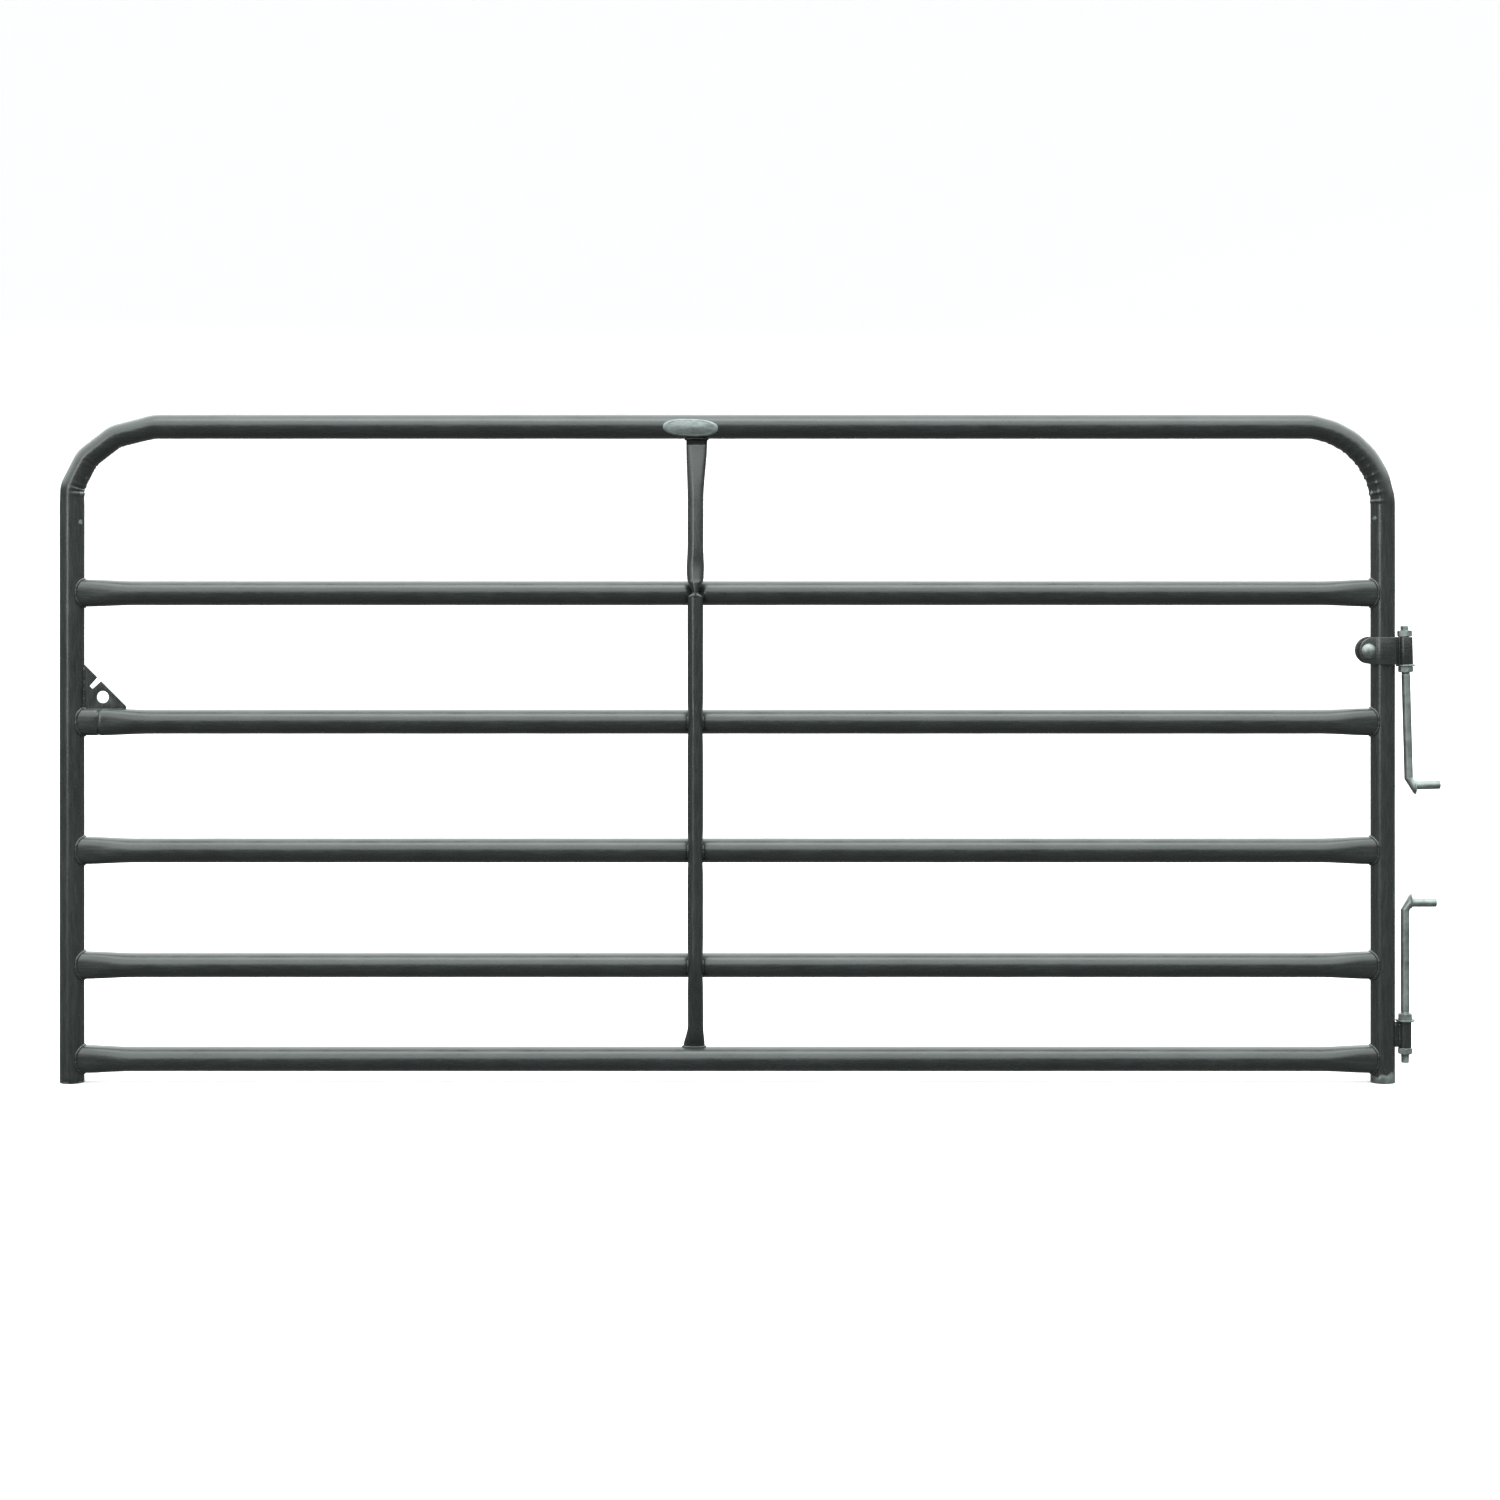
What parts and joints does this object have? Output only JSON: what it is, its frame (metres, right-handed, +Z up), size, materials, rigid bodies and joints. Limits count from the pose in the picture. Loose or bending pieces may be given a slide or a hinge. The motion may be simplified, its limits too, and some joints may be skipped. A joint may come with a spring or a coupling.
{
  "type": "livestock panel gate",
  "caption": "Round-tube livestock gate with rounded top corners, welded rails, a centre brace, a chain latch plate, a strap-clamp hinge, a welded barrel hinge and hook bolts.",
  "frame": {"origin": "centre of the hinge leg's foot, in the middle plane of the panel", "axes": "+X along the gate from the latch leg to the hinge leg, +Z up, -Y the front face that carries the centre brace"},
  "size_m": [2.5209, 0.0824, 1.219],
  "materials": {
    "enamel": "semi-gloss dark grey-green enamel with dust and small runs",
    "zinc_plate": "dull bright zinc plating, slightly mottled",
    "plate_metal": "satin pale grey blank plate"
  },
  "bodies": {
    "gate": {"frame_tube": "enamel", "second_rail": "enamel", "third_rail": "enamel", "fourth_rail": "enamel", "fifth_rail": "enamel", "bottom_rail": "enamel", "centre_brace": "enamel", "name_plate": "plate_metal", "latch_plate": "enamel", "hinge_barrel": "enamel", "barrel_tab": "enamel"},
    "clamp": {"hinge_strap": "enamel", "clamp_bolt": "zinc_plate", "clamp_nut": "zinc_plate"},
    "upper_hook": {"upper_hook_bolt": "zinc_plate", "upper_hook_top_nut": "zinc_plate", "upper_hook_washer": "zinc_plate", "upper_hook_bottom_nut": "zinc_plate"},
    "lower_hook": {"lower_hook_bolt": "zinc_plate", "lower_hook_top_nut": "zinc_plate", "lower_hook_washer": "zinc_plate", "lower_hook_bottom_nut": "zinc_plate"}
  },
  "joints": [
    {"name": "clamp_height", "type": "slide", "parent": "gate", "child": "clamp", "axis": [0, 0, 1], "range_m": [-0.075, 0.05]},
    {"name": "upper_hook_turn", "type": "hinge", "parent": "clamp", "child": "upper_hook", "pos_m": [0.041, 0, 0.78807], "axis": [-0.0279, 0, 0.9996], "range_deg": [-125, 125]},
    {"name": "lower_hook_turn", "type": "hinge", "parent": "gate", "child": "lower_hook", "pos_m": [0.041, 0, 0.08722], "axis": [0, 0, 1], "range_deg": [-125, 125]}
  ]
}
